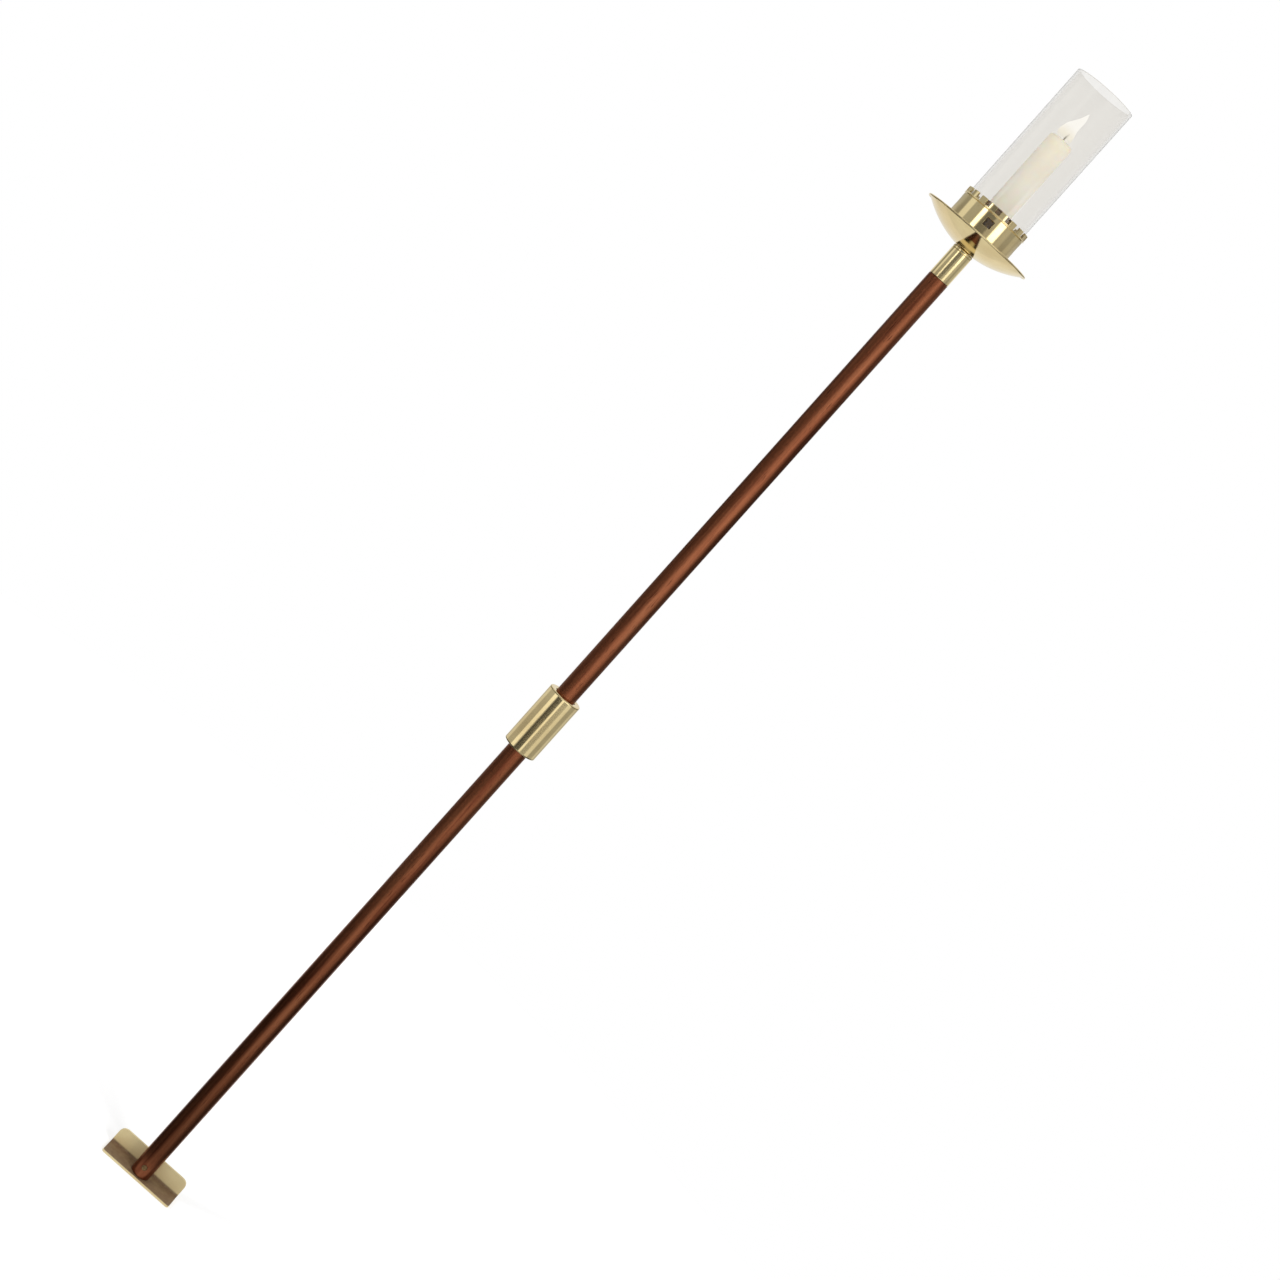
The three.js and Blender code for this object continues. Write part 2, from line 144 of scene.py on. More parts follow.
# a node tree of a material or of the world
class Graph:
    def __init__(self, owner):
        owner.use_nodes = True
        self.owner = owner
        self.tree = owner.node_tree
        self.tree.nodes.clear()

    def add(self, kind, settings=None, inputs=None, output=0):
        made = self.tree.nodes.new(kind)
        for key, value in (settings or {}).items():
            setattr(made, key, value)
        for key, value in (inputs or {}).items():
            socket = made.inputs[key]
            if isinstance(value, Signal):
                self.tree.links.new(value.socket, socket)
            else:
                socket.default_value = value
        return Signal(self, made.outputs[output] if made.outputs else None)

    def point(self):
        # the point on the object, in metres
        return self.add("ShaderNodeTexCoord", output=3)

    def split(self, vector):
        parts = self.add("ShaderNodeSeparateXYZ", None, {0: vector}).socket.node.outputs
        return [Signal(self, part) for part in parts]

    def height(self):
        return self.split(self.point())[2]

    def noise(self, scale, detail, roughness, stretch=(1, 1, 1), turn=(0, 0, 0), warp=0.0):
        # a cloudy texture, 0 to 1; the finishes below list its values in this order
        where = self.add(
            "ShaderNodeMapping", None, {"Vector": self.point(), "Scale": stretch, "Rotation": turn})
        return self.add(
            "ShaderNodeTexNoise", None,
            {"Vector": where, "Scale": scale, "Detail": detail, "Roughness": roughness, "Distortion": warp})

    def blend(self, share, first, second):
        return self.add("ShaderNodeMix", {"data_type": "RGBA"}, {0: share, 6: first, 7: second}, output=2)

    def bump(self, height, strength, depth):
        return self.add("ShaderNodeBump", None, {"Height": height, "Strength": strength, "Distance": depth})

    def ray(self, kind):
        # 1 on rays of that kind, 0 on others
        return self.add("ShaderNodeLightPath", output=rayKinds[kind])


def rgb(red, green, blue):
    # a colour given as it looks on screen, 0 to 255, in the linear values that a shader takes
    def linear(value):
        value = value / 255
        return value / 12.92 if value <= 0.04045 else ((value + 0.055) / 1.055) ** 2.4

    return (linear(red), linear(green), linear(blue), 1.0)


def surface(name, inputs):
    # a material with one Principled shader; returns the graph and the shader
    graph = Graph(bpy.data.materials.new(name))
    shader = graph.add("ShaderNodeBsdfPrincipled", None, inputs)
    graph.add("ShaderNodeOutputMaterial", None, {"Surface": shader})
    return graph, shader


def plug(shader, key, value):
    shader.graph.tree.links.new(value.socket, shader.socket.node.inputs[key])


polish = {
    "bright": rgb(243, 225, 173),
    "deep": rgb(231, 209, 157),
    "dull": rgb(150, 122, 78),
    # colour of the shelf's painted dark reflection and shade
    "shelf": rgb(104, 72, 54),
    "tarnishedShaded": rgb(150, 122, 94),
    "tarnishedShadedDeep": rgb(118, 94, 70),
    "roughness": 0.08,
    "relief": 0.015,
    "cloud": (22.0, 4.0, 0.55),
    "specks": (210.0, 3.0, 0.6),
    "wiping": (60.0, 2.0, 0.5, (1, 1, 26), (0.35, 0.2, 0)),
}


def brassFinish(name, tarnishAndShade=0.0, roughness=None, paintedDark=None, metal=1.0):
    # polished brass: slight tone changes, wiping marks and a few fine scratches; the darkening stands for
    # tarnish and for painted shade
    gloss = polish["roughness"] if roughness is None else roughness
    graph, shader = surface(name, {"Metallic": metal})
    cloud = graph.noise(*polish["cloud"])
    fine = graph.noise(*polish["specks"])
    wiped = graph.noise(*polish["wiping"])
    clean, dim = ("tarnishedShaded", "tarnishedShadedDeep") if tarnishAndShade > 0.5 else ("bright", "deep")
    tone = graph.blend(cloud.rise(0.35, 0.7), polish[clean], polish[dim])
    spots = fine.rise(0.62, 0.78) * (0.12 + tarnishAndShade)
    tone = graph.blend(spots, tone, polish["dull"])
    if tarnishAndShade:
        tone = graph.blend(cloud.rise(0.3, 0.62) * tarnishAndShade, tone, polish["dull"])
    # painted dark reflection and shade, in the shelf's colour, where the mask is 1
    if paintedDark:
        tone = graph.blend(paintedDark(graph) * (0.75 + fine * 0.25), tone, polish["shelf"])
    plug(shader, "Base Color", tone)
    wear = gloss + cloud.rise(0.4, 0.75) * 0.03 + wiped.rise(0.5, 0.8) * 0.02
    plug(shader, "Roughness", wear + tarnishAndShade * 0.2)
    plug(shader, "Normal", graph.bump(fine * 0.4 + wiped * 0.6, polish["relief"], 0.2 * mm))
    return graph.owner


# how deep and how high the painted dark reflection and shade of the foot's shelf reaches, each as where it
# starts and ends
shelfShadeReach = {
    "front": (14.5 * mm, 16 * mm),
    "upPlate": (4 * mm, 7.5 * mm),
    "fromBelow": (2.2 * mm, 3.0 * mm),
}


def paintedShelfShade(graph):
    # painted dark reflection over the shelf's top, and painted shade in the bend behind it and low on the
    # plate
    depth, height = graph.split(graph.point())[1:]
    corner = depth.fall(*shelfShadeReach["front"]).most(height.fall(*shelfShadeReach["upPlate"]))
    return height.rise(*shelfShadeReach["fromBelow"]) * corner


zinc = {
    "light": rgb(205, 205, 202),
    "dark": rgb(170, 168, 160),
    "roughness": 0.26,
    "cloud": (90.0, 4.0, 0.6),
}


def steelFinish():
    graph, shader = surface("zincSteel", {"Metallic": 1.0})
    cloud = graph.noise(*zinc["cloud"])
    plug(shader, "Base Color", graph.blend(cloud.rise(0.35, 0.7), zinc["light"], zinc["dark"]))
    plug(shader, "Roughness", zinc["roughness"] + cloud * 0.12)
    plug(shader, "Normal", graph.bump(cloud, 0.08, 0.2 * mm))
    return graph.owner


stain = {
    "dark": rgb(108, 55, 35),
    "body": rgb(148, 88, 58),
    "light": rgb(172, 112, 78),
    "pore": rgb(62, 26, 15),
    "sheen": 0.95,
    "roughness": 0.27,
    "figure": (85.0, 5.0, 0.6, (1, 1, 0.045)),
    "figureLean": (0.02, 0.015),
    "figureWarp": 0.25,
    "fibres": (900.0, 3.0, 0.6, (1, 1, 0.02)),
    "pores": (620.0, 2.0, 0.7, (1, 1, 0.055)),
    "cloud": (9.0, 2.0, 0.5, (1, 1, 0.3)),
}


def woodFinish(name, side):
    # straight-grained wood under a dark stain, which tints its sheen as French polish does; side is the
    # way that the grain leans, 1 or -1
    graph, shader = surface(name, {
        "Metallic": stain["sheen"], "Coat Roughness": 0.2, "Coat IOR": 1.45, "Specular IOR Level": 0.25})
    aside, ahead = stain["figureLean"]
    figure = graph.noise(*stain["figure"], (aside * side, ahead, 0), stain["figureWarp"])
    fibres = graph.noise(*stain["fibres"])
    pores = graph.noise(*stain["pores"])
    cloud = graph.noise(*stain["cloud"])
    tone = graph.blend(figure.rise(0.32, 0.56), stain["dark"], stain["body"])
    tone = graph.blend(figure.rise(0.52, 0.74) * 0.7, tone, stain["light"])
    tone = graph.blend(fibres.rise(0.45, 0.75) * 0.3, tone, stain["light"])
    tone = graph.blend(cloud.rise(0.4, 0.7) * 0.3, tone, stain["dark"])
    pits = pores.rise(0.63, 0.72)
    tone = graph.blend(pits * 0.7, tone, stain["pore"])
    plug(shader, "Base Color", tone)
    plug(shader, "Roughness", stain["roughness"] + figure * 0.08 + pits * 0.1)
    plug(shader, "Coat Weight", 0.08 - pits * 0.05)
    plug(shader, "Normal", graph.bump(fibres * 0.5 + figure * 0.4 - pits, 0.12, 0.3 * mm))
    return graph.owner


ivory = {
    "clean": rgb(252, 247, 238),
    "cloudy": rgb(249, 242, 228),
    "flameLit": rgb(253, 244, 226),
    "glowBelow": (0.045, 0.04, 0.03, 1),
    "glowTop": (0.13, 0.115, 0.085, 1),
    "flameLitReach": 35 * mm,
    "glowReach": 100 * mm,
    "cloud": (34.0, 4.0, 0.55),
    "bloom": (260.0, 3.0, 0.6, (1, 1, 0.5)),
}


def waxFinish(top):
    # ivory wax with painted flame light: its colour warms and it glows more towards the top; faint clouding
    # below
    graph, shader = surface("ivoryWax", {
        "Subsurface Weight": 0.35, "Subsurface Radius": (0.9, 0.55, 0.3), "Subsurface Scale": 6 * mm,
        "IOR": 1.44, "Emission Strength": 1.0})
    height = graph.height()
    cloud = graph.noise(*ivory["cloud"])
    bloom = graph.noise(*ivory["bloom"])
    tone = graph.blend(cloud.rise(0.35, 0.7), ivory["clean"], ivory["cloudy"])
    # painted flame light: warmer colour towards the top
    tone = graph.blend(height.rise(top - ivory["flameLitReach"], top) * 0.55, tone, ivory["flameLit"])
    plug(shader, "Base Color", tone)
    # painted glow: the wax gives off light, faint below and stronger at the top
    glow = graph.blend(height.rise(top - ivory["glowReach"], top), ivory["glowBelow"], ivory["glowTop"])
    plug(shader, "Emission Color", glow)
    plug(shader, "Roughness", 0.42 + bloom * 0.16)
    plug(shader, "Normal", graph.bump(cloud * 0.7 + bloom * 0.3, 0.12, 0.6 * mm))
    return graph.owner


cotton = {
    "clean": rgb(196, 184, 158),
    "soot": rgb(20, 17, 15),
    "ash": rgb(92, 84, 78),
    "braid": (1500.0, 2.0, 0.6, (1, 1, 0.6)),
}


def wickFinish(top):
    # cotton below, charred black above the wax
    graph, shader = surface("charredWick", {"Roughness": 0.9})
    braid = graph.noise(*cotton["braid"])
    char = graph.height().rise(top - 1 * mm, top + 4 * mm)
    burnt = graph.blend(braid, cotton["soot"], cotton["ash"])
    plug(shader, "Base Color", graph.blend(char, cotton["clean"], burnt))
    plug(shader, "Normal", graph.bump(braid, 0.5, 0.4 * mm))
    return graph.owner


tumbler = {
    "tint": (0.888, 0.876, 0.85, 1),
    "passing": (0.94, 0.935, 0.92, 1),
    "index": 1.46,
    "streak": (40.0, 2.0, 0.5, (1, 1, 0.12)),
}


def glassFinish():
    # clear glass with a trace of grey; shadow and soft rays pass straight, so that the candle in it is lit
    graph = Graph(bpy.data.materials.new("clearGlass"))
    shader = graph.add(
        "ShaderNodeBsdfPrincipled", None,
        {"Base Color": tumbler["tint"], "Transmission Weight": 1.0, "IOR": tumbler["index"]})
    streak = graph.noise(*tumbler["streak"])
    plug(shader, "Roughness", 0.01 + streak.rise(0.5, 0.8) * 0.02)
    clear = graph.add("ShaderNodeBsdfTransparent", None, {"Color": tumbler["passing"]})
    straight = graph.ray("shadow").most(graph.ray("diffuse"))
    mixed = graph.add("ShaderNodeMixShader", None, {0: straight, 1: shader, 2: clear})
    graph.add("ShaderNodeOutputMaterial", None, {"Surface": mixed})
    return graph.owner


burning = {"root": rgb(244, 238, 222), "body": rgb(255, 253, 248), "strength": 1.12, "fadeIn": 0.3}


def flameFinish(low, high):
    # pale flame: faint at its root, nearly white above
    graph, shader = surface("candleFlame", {
        "Base Color": (0, 0, 0, 1), "Roughness": 1.0, "Specular IOR Level": 0.0,
        "Emission Strength": burning["strength"]})
    height = graph.height()
    reach = high - low
    warm = height.rise(low + 0.15 * reach, low + 0.5 * reach)
    plug(shader, "Emission Color", graph.blend(warm, burning["root"], burning["body"]))
    plug(shader, "Alpha", height.rise(low, low + burning["fadeIn"] * reach))
    return graph.owner


waxTop = nodeBox("candle")[1].z
finishes = {
    "brass": brassFinish("polishedBrass"),
    # the bracket's shelf and bend carry painted reflection and shade
    "bracketBrass": brassFinish("bracketBrass", tarnishAndShade=0.03, roughness=0.42, paintedDark=paintedShelfShade, metal=0.15),
    # painted shade inside the gallery's cup
    "shadedInnerBrass": brassFinish("shadedInnerBrass", tarnishAndShade=0.45, roughness=0.35),
    # tarnished brass darkened further as painted shade, for the socket, the peg screw and the joint insert
    "tarnishedShadedBrass": brassFinish("tarnishedShadedBrass", tarnishAndShade=0.7, roughness=0.35),
    "steel": steelFinish(),
    "lowerWood": woodFinish("lowerWood", 1),
    "upperWood": woodFinish("upperWood", -1),
    "wax": waxFinish(waxTop),
    "wick": wickFinish(waxTop),
    "glass": glassFinish(),
}
print("finishes made:", len(finishes))


# the most of an edge that a corner's arc takes, and the flat that is held beside the arc
arcShape = {"share": 0.49, "hold": 0.1 * mm, "holdShare": 0.2}


def softened(corners, closed=True, steps=5):
    # rounds each [radius, height, rounding] corner of a profile with a short arc; a point beyond each
    # end of the arc keeps the shading of the flat beside it even
    line = []
    count = len(corners)
    for index, corner in enumerate(corners):
        point = Vector(corner[:2])
        rounding = corner[2] if len(corner) > 2 else 0
        atEnd = not closed and index in (0, count - 1)
        if not rounding or atEnd:
            line.append(point)
            continue
        before = Vector(corners[index - 1][:2]) - point
        after = Vector(corners[(index + 1) % count][:2]) - point
        half = before.angle(after) / 2
        most, held = arcShape["share"], arcShape["holdShare"]
        cut = min(rounding / math.tan(half), most * before.length, most * after.length)
        start = point + before.normalized() * cut
        end = point + after.normalized() * cut
        hold = min(arcShape["hold"], held * before.length, held * after.length)
        if cut + hold < most * before.length:
            line.append(start + before.normalized() * hold)
        for step in range(steps + 1):
            share = step / steps
            line.append(start * (1 - share) ** 2 + point * 2 * share * (1 - share) + end * share ** 2)
        if cut + hold < most * after.length:
            line.append(end + after.normalized() * hold)
    return [(point.x, point.y) for point in line]


def finishMesh(build, name, finish, body, nodes, sharp=40):
    # turns a bmesh into a piece that rides a body and stands for CAD nodes
    bmesh.ops.remove_doubles(build, verts=build.verts, dist=1e-7)
    bmesh.ops.recalc_face_normals(build, faces=build.faces)
    mesh = bpy.data.meshes.new(name)
    build.to_mesh(mesh)
    build.free()
    mesh.shade_smooth()
    mesh.set_sharp_from_angle(angle=math.radians(sharp))
    mesh.materials.append(finishes[finish])
    piece = bpy.data.objects.new(name, mesh)
    bpy.context.scene.collection.objects.link(piece)
    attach(piece, body)
    if nodes:
        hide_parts(*nodes)
    return piece


def turn(outline, steps, closed=True):
    # spins (radius, height) points about the upright axis; a third value moves that ring aside
    build = bmesh.new()
    angles = [2 * math.pi * step / steps for step in range(steps)]
    rings = []
    for radius, height, *aside in outline:
        lean = sum(aside)
        if radius < 1e-6:
            rings.append([build.verts.new((lean, 0, height))] * steps)
            continue
        spots = [(lean + radius * math.sin(a), -radius * math.cos(a), height) for a in angles]
        rings.append([build.verts.new(spot) for spot in spots])
    pairs = list(zip(rings, rings[1:]))
    if closed:
        pairs.append((rings[-1], rings[0]))
    for low, high in pairs:
        for column in range(steps):
            across = (column + 1) % steps
            corners = [low[column], low[across], high[across], high[column]]
            kept = [c for i, c in enumerate(corners) if c not in corners[:i]]
            if len(kept) > 2:
                build.faces.new(kept)
    return build


def joinRings(build, rings):
    # side faces between rings of equal count, and a lid at each end
    for lower, upper in zip(rings, rings[1:]):
        for corner in range(len(lower)):
            across = (corner + 1) % len(lower)
            build.faces.new([lower[corner], lower[across], upper[across], upper[corner]])
    build.faces.new(rings[0])
    build.faces.new(rings[-1])


def prism(outline, axis, start, end):
    # a straight body with the given outline, along X, Y or Z
    build = bmesh.new()

    def at(point, level):
        spot = list(point)
        spot.insert("XYZ".index(axis), level)
        return spot

    first = [build.verts.new(at(point, start)) for point in outline]
    last = [build.verts.new(at(point, end)) for point in outline]
    build.faces.new(first)
    build.faces.new(last)
    for index in range(len(outline)):
        across = (index + 1) % len(outline)
        build.faces.new([first[index], first[across], last[across], last[index]])
    return build


def layAlongY(build, centre):
    # lays an upright mesh down so that its top points into the pew end
    laid = Matrix.Rotation(math.radians(-90), 3, "X")
    bmesh.ops.rotate(build, verts=build.verts, cent=(0, 0, 0), matrix=laid)
    bmesh.ops.translate(build, verts=build.verts, vec=centre)


def helper(build, name):
    bmesh.ops.recalc_face_normals(build, faces=build.faces)
    mesh = bpy.data.meshes.new(name)
    build.to_mesh(mesh)
    build.free()
    made = bpy.data.objects.new(name, mesh)
    bpy.context.scene.collection.objects.link(made)
    return made


def combine(base, others):
    # joins or cuts base with (way, object) pairs and gives back one mesh
    for way, other in others:
        step = base.modifiers.new("combine", "BOOLEAN")
        step.operation = way
        step.solver = "EXACT"
        step.object = other
    bpy.context.view_layer.update()
    solved = bpy.data.meshes.new_from_object(base.evaluated_get(bpy.context.evaluated_depsgraph_get()))
    for made in [base] + [other for way, other in others]:
        bpy.data.objects.remove(made)
    return solved


def softEdges(piece, width, angle, segments=3):
    soft = piece.modifiers.new("softEdges", "BEVEL")
    soft.width = width
    soft.segments = segments
    soft.limit_method = "ANGLE"
    soft.angle_limit = math.radians(angle)
    soft.harden_normals = False
    even = piece.modifiers.new("evenNormals", "WEIGHTED_NORMAL")
    even.keep_sharp = True


shaftShape = {"edge": 0.8 * mm, "underFerrule": 0.2 * mm, "facets": 128}


def makeShafts():
    edge = shaftShape["edge"]
    for node, finish in (("lower_shaft", "lowerWood"), ("upper_shaft", "upperWood")):
        low, high = nodeBox(node)
        radius = high.x
        top = high.z
        if node == "upper_shaft":
            top = nodeBox("ferrule")[0].z - shaftShape["underFerrule"]
        profile = [(0, low.z), (radius, low.z, edge), (radius, top, edge * 0.5), (0, top)]
        build = turn(softened(profile, False), shaftShape["facets"], False)
        finishMesh(build, node + "Turned", finish, "staff", [node])


ferruleShape = {
    "wall": 1.5 * mm, "plug": 3 * mm, "mouth": 0.5 * mm, "shoulder": 1.7 * mm, "soft": 0.2 * mm,
    "grooveDown": 4.2 * mm, "grooveDeep": 0.5 * mm, "grooveLowest": 0.35 * mm, "grooveTall": 0.8 * mm,
    "facets": 128,
}


def makeFerrule():
    # brass cap with a shallow groove under its rounded shoulder
    low, high = nodeBox("ferrule")
    shape = ferruleShape
    radius = high.x
    inner = radius - shape["wall"]
    soft = shape["soft"]
    groove = high.z - shape["grooveDown"]
    profile = [
        (0, low.z + shape["plug"]), (inner, low.z + shape["plug"]), (inner, low.z, soft),
        (radius, low.z, shape["mouth"]), (radius, groove, soft),
        (radius - shape["grooveDeep"], groove + shape["grooveLowest"], soft),
        (radius, groove + shape["grooveTall"], soft), (radius, high.z, shape["shoulder"]), (0, high.z),
    ]
    build = turn(softened(profile, False), shape["facets"], False)
    finishMesh(build, "ferruleCap", "brass", "staff", ["ferrule"])


panShape = {
    "seat": 13 * mm, "wall": 1.2 * mm, "bead": 1.15 * mm, "hole": 5 * mm, "arcSteps": 44,
    "beadFrom": -62, "beadSweep": 225, "beadSteps": 12, "facets": 192,
}


def makePan():
    # shallow dish, part of a ball, with a beaded rim
    low, high = nodeBox("drip_pan")
    shape = panShape
    seat, wall, bead, hole = (shape[key] for key in ("seat", "wall", "bead", "hole"))
    reach = high.x
    depth = high.z - low.z
    centre = (reach ** 2 - seat ** 2 + depth ** 2) / (2 * depth)
    ball = math.hypot(centre, seat)

    def rise(radius):
        return low.z + centre - math.sqrt(ball ** 2 - radius ** 2)

    steps = shape["arcSteps"]
    edge = reach - bead * 1.2
    radii = [seat + (edge - seat) * step / steps for step in range(steps + 1)]
    under = [(hole, low.z), (seat - 1 * mm, low.z)] + [(r, rise(r)) for r in radii]
    middle = Vector((reach - bead, high.z - bead))
    rim = []
    for step in range(shape["beadSteps"] + 1):
        angle = math.radians(shape["beadFrom"] + shape["beadSweep"] * step / shape["beadSteps"])
        rim.append((middle.x + bead * math.cos(angle), middle.y + bead * math.sin(angle)))
    inside = [(r - 0.3 * mm, rise(r) + wall) for r in reversed(radii[:-1])]
    build = turn(under + rim + inside + [(hole, low.z + wall)], shape["facets"])
    finishMesh(build, "dripPanDish", "brass", "staff", ["drip_pan"], 50)


collarShape = {
    "hole": 5 * mm, "waist": 0.71, "rim": 1.8 * mm, "edge": 0.5 * mm, "curve": 3 * mm, "facets": 96,
}


def makeCollar():
    # spool between the pan and the gallery
    low, high = nodeBox("pan_collar")
    hole, rim, edge, curve = (collarShape[key] for key in ("hole", "rim", "edge", "curve"))
    wide = high.x
    waist = wide * collarShape["waist"]
    tall = high.z - low.z
    profile = [
        (hole, low.z), (wide, low.z, edge), (wide, low.z + rim, edge), (waist, low.z + 0.4 * tall, curve),
        (waist, low.z + 0.6 * tall, curve), (wide, high.z - rim, edge), (wide, high.z, edge), (hole, high.z),
    ]
    build = turn(softened(profile), collarShape["facets"])
    finishMesh(build, "panCollarTurned", "brass", "staff", ["pan_collar"])


galleryShape = {
    "wall": 1.0 * mm, "crestTall": 6.8 * mm, "crestProud": 0.5 * mm, "crestIn": 1.0 * mm, "bead": 0.9 * mm,
    "floor": 1.2 * mm, "hole": 5.05 * mm, "notches": 18, "notchWide": 6.2 * mm, "notchDeep": 6.2 * mm,
    "vents": 4, "ventWide": 10 * mm, "ventTall": 9.4 * mm, "ventSill": 15.4 * mm, "footEdge": 1.6 * mm,
    "floorEdge": 0.8 * mm, "beadEdge": 0.5 * mm, "edge": 0.3 * mm, "softness": 0.2 * mm, "facets": 180,
}


def openings(count, width, radius, bottom, top, name):
    # upright boxes round the wall, the first at the front
    build = bmesh.new()
    for place in range(count):
        made = bmesh.ops.create_cube(build, size=1.0)["verts"]
        bmesh.ops.scale(build, verts=made, vec=(width, 6 * mm, top - bottom))
        bmesh.ops.translate(build, verts=made, vec=(0, -radius, (top + bottom) / 2))
        turned = Matrix.Rotation(2 * math.pi * place / count, 3, "Z")
        bmesh.ops.rotate(build, verts=made, cent=(0, 0, 0), matrix=turned)
    return helper(build, name)


def makeGallery():
    # cup with air vents and a notched crest; its inside is darker, duller brass as painted shade
    low, high = nodeBox("gallery")
    shape = galleryShape
    bead = shape["bead"]
    wallOuter = high.x - bead
    wallInner = wallOuter - shape["wall"]
    crestOuter = wallOuter + shape["crestProud"]
    crestInner = wallInner - shape["crestIn"]
    crestZ = high.z - shape["crestTall"]
    floorTop = low.z + shape["floor"]
    hole, edge, beadEdge = shape["hole"], shape["edge"], shape["beadEdge"]
    profile = softened([
        (hole, low.z), (wallOuter, low.z, shape["footEdge"]), (wallOuter, crestZ - 1.8 * bead, edge),
        (high.x, crestZ - 1.5 * bead, beadEdge), (high.x, crestZ - 0.3 * bead, beadEdge),
        (crestOuter, crestZ, 0.2 * mm), (crestOuter, high.z, edge), (crestInner, high.z, edge),
        (crestInner, crestZ, edge), (wallInner, crestZ - shape["crestIn"], edge),
        (wallInner, floorTop, shape["floorEdge"]), (hole, floorTop),
    ])
    cup = turn(profile, shape["facets"])
    notchFloor = high.z - shape["notchDeep"]
    sill = low.z + shape["ventSill"]
    solved = combine(helper(cup, "cupForm"), [
        ("DIFFERENCE", openings(
            shape["notches"], shape["notchWide"], crestOuter, notchFloor, high.z + 5 * mm, "notchForm")),
        ("DIFFERENCE", openings(
            shape["vents"], shape["ventWide"], wallOuter, sill, sill + shape["ventTall"], "ventForm")),
    ])
    build = bmesh.new()
    build.from_mesh(solved)
    piece = finishMesh(build, "galleryCastellated", "brass", "staff", ["gallery"], 35)
    piece.data.materials.append(finishes["shadedInnerBrass"])
    # painted shade: the inner faces take the darker brass
    for face in piece.data.polygons:
        out = Vector((face.center.x, face.center.y, 0))
        if out.length < wallOuter - 0.5 * shape["wall"] and face.center.z > low.z + 0.5 * mm:
            face.material_index = 1
    softEdges(piece, shape["softness"], 35, 2)


socketShape = {
    "lip": 0.8 * mm, "wall": 1.4 * mm, "floor": 6 * mm, "edge": 0.6 * mm, "neckEdge": 0.4 * mm,
    "lipEdge": 0.5 * mm, "facets": 96,
}


def makeSocket():
    # brass cup with a lip round its mouth; its tarnished brass is darkened further as painted shade
    low, high = nodeBox("candle_socket")
    lip, edge, neckEdge, lipEdge = (socketShape[key] for key in ("lip", "edge", "neckEdge", "lipEdge"))
    outer = high.x - lip
    inner = outer - socketShape["wall"]
    floorTop = low.z + socketShape["floor"]
    profile = [
        (0, low.z), (outer, low.z, edge), (outer, high.z - 2.4 * lip, neckEdge),
        (outer + lip, high.z - 2 * lip, lipEdge), (outer + lip, high.z, edge), (inner, high.z, lipEdge),
        (inner, floorTop), (0, floorTop),
    ]
    build = turn(softened(profile, False), socketShape["facets"], False)
    finishMesh(build, "candleCup", "tarnishedShadedBrass", "staff", ["candle_socket"])


candleShape = {
    "foot": 0.8 * mm, "shoulder": 5.2 * mm, "pool": 2.4 * mm, "poolShare": 0.4, "poolSteps": 8,
    "rowTall": 4 * mm, "melt": 6 * mm, "slump": 0.35 * mm, "facets": 96,
}


def makeCandle():
    # part-burnt: rounded shoulder that has softened unevenly and a shallow pool round the wick
    low, high = nodeBox("candle")
    shape = candleShape
    radius = high.x
    poolEdge = shape["poolShare"] * radius
    profile = [
        (0, low.z), (radius, low.z, shape["foot"]), (radius, high.z, shape["shoulder"]), (poolEdge, high.z),
    ]
    line = softened(profile, False, 10)
    for step in range(1, shape["poolSteps"] + 1):
        share = step / shape["poolSteps"]
        sunk = shape["pool"] * math.sin(share * math.pi / 2)
        line.append((poolEdge * (1 - share), high.z - sunk))
    rows = []
    for first, second in zip(line, line[1:]):
        rows.append(first)
        pieces = max(1, int(abs(second[1] - first[1]) / shape["rowTall"]))
        for cut in range(1, pieces):
            share = cut / pieces
            rows.append(tuple(a + (b - a) * share for a, b in zip(first, second)))
    rows.append(line[-1])
    build = turn(rows, shape["facets"], False)
    melt = shape["melt"]
    for vert in build.verts:
        out = math.hypot(vert.co.x, vert.co.y)
        if vert.co.z < high.z - melt or out < 1e-6:
            continue
        angle = math.atan2(vert.co.y, vert.co.x)
        wave = math.sin(angle + 0.7) * 0.5 + math.sin(2 * angle + 2.1) * 0.3 + math.sin(5 * angle) * 0.12
        depth = (vert.co.z - high.z + melt) / melt
        vert.co.z -= max(0, shape["slump"] * (1 + wave)) * depth * (out / radius)
    finishMesh(build, "candleWax", "wax", "candle", ["candle"], 60)


wickShape = {"bend": 1.6 * mm, "sunk": 2 * mm, "steps": 14, "sides": 12, "twists": 3.2, "ridge": 0.16}


def makeWick():
    # cotton wick that leans over a little at its charred end
    high = nodeBox("wick")[1]
    shape = wickShape
    radius = high.x * 0.9
    start = waxTop - candleShape["pool"] - shape["sunk"]
    sides = shape["sides"]
    build = bmesh.new()
    rings = []
    for step in range(shape["steps"] + 1):
        share = step / shape["steps"]
        height = start + (high.z - start) * share
        lean = shape["bend"] * share ** 2.5
        girth = radius * (1 - 0.35 * share ** 3)
        ring = []
        for corner in range(sides):
            angle = 2 * math.pi * (corner / sides + shape["twists"] * share * 0.25)
            ridge = 1 + shape["ridge"] * math.cos(3 * 2 * math.pi * corner / sides)
            ring.append(build.verts.new((
                lean + girth * ridge * math.cos(angle), girth * ridge * math.sin(angle), height)))
        rings.append(ring)
    joinRings(build, rings)
    finishMesh(build, "wickCotton", "wick", "candle", ["wick"], 80)


